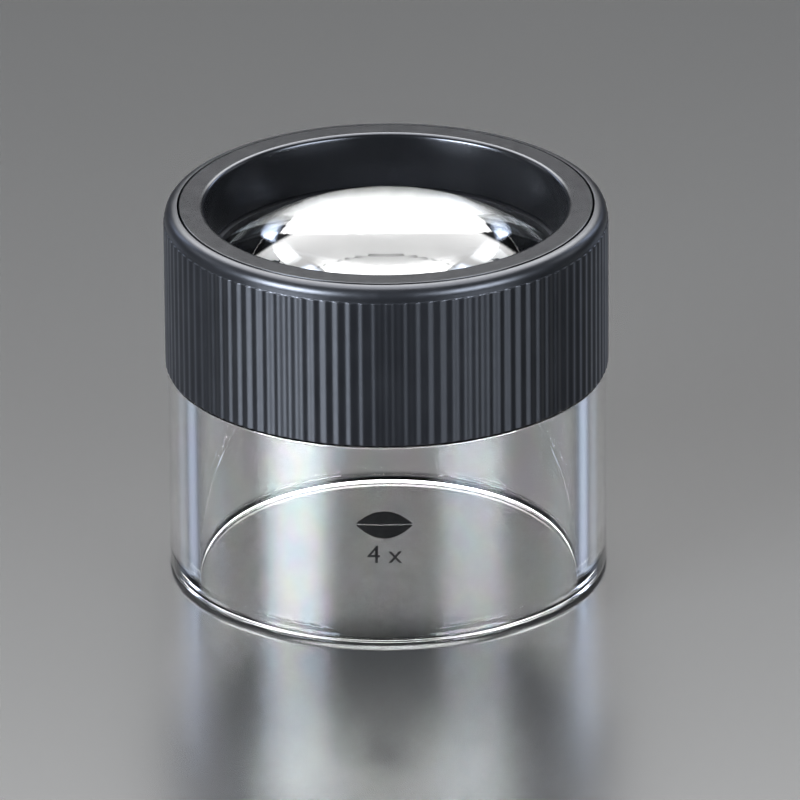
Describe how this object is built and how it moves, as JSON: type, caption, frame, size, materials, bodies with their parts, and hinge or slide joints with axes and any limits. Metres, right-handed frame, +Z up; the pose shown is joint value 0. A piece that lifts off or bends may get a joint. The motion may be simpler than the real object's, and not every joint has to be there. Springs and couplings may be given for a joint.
{
  "type": "viewing loupe",
  "caption": "Stand loupe for viewing film: domed lens in a black fluted focusing ring on a clear open cylindrical base; turning the ring lifts the lens carriage.",
  "frame": {"origin": "centre of the clear base's foot, on the surface that the loupe stands on", "axes": "+Z up along the optical axis, -Y towards the front, where the printed mark is"},
  "size_m": [0.07, 0.07, 0.0608],
  "materials": {
    "clear_acrylic": "polished clear acrylic",
    "grip_black": "moulded black plastic, satin, fluted",
    "bezel_black": "satin-gloss black plastic with a fine grain",
    "mount_black": "matt black, to keep stray light down",
    "lens_glass": "polished optical glass",
    "ring_black": "black anodised",
    "rubber_black": "matt",
    "acetal": "natural acetal, satin",
    "steel": "bright"
  },
  "bodies": {
    "base": {"clear_base": "clear_acrylic", "snap_ring": "steel", "focus_drag_ring": "rubber_black"},
    "focus_ring": {"grip_ring": "grip_black"},
    "lens_carriage": {"lens_mount": "mount_black", "top_bezel": "bezel_black", "eye_lens": "lens_glass", "field_lens": "lens_glass", "lens_spacer": "ring_black", "lens_seal": "rubber_black", "lens_retaining_ring": "ring_black", "travel_stop_ring": "ring_black", "guide_key_1": "acetal", "guide_key_2": "acetal", "guide_key_3": "acetal", "key_screw_1": "steel", "key_screw_2": "steel", "key_screw_3": "steel"}
  },
  "joints": [
    {"name": "focus_turn", "type": "hinge", "parent": "base", "child": "focus_ring", "pos_m": [0, 0, 0.047], "axis": [0, 0, 1], "range_deg": [0, 150]},
    {"name": "focus_travel", "type": "slide", "parent": "base", "child": "lens_carriage", "axis": [0, 0, 1], "range_m": [0, 0.005]}
  ],
  "couplings": [
    {"joint": "focus_turn", "follows": "focus_travel", "rad_per_m": 523.6}
  ]
}
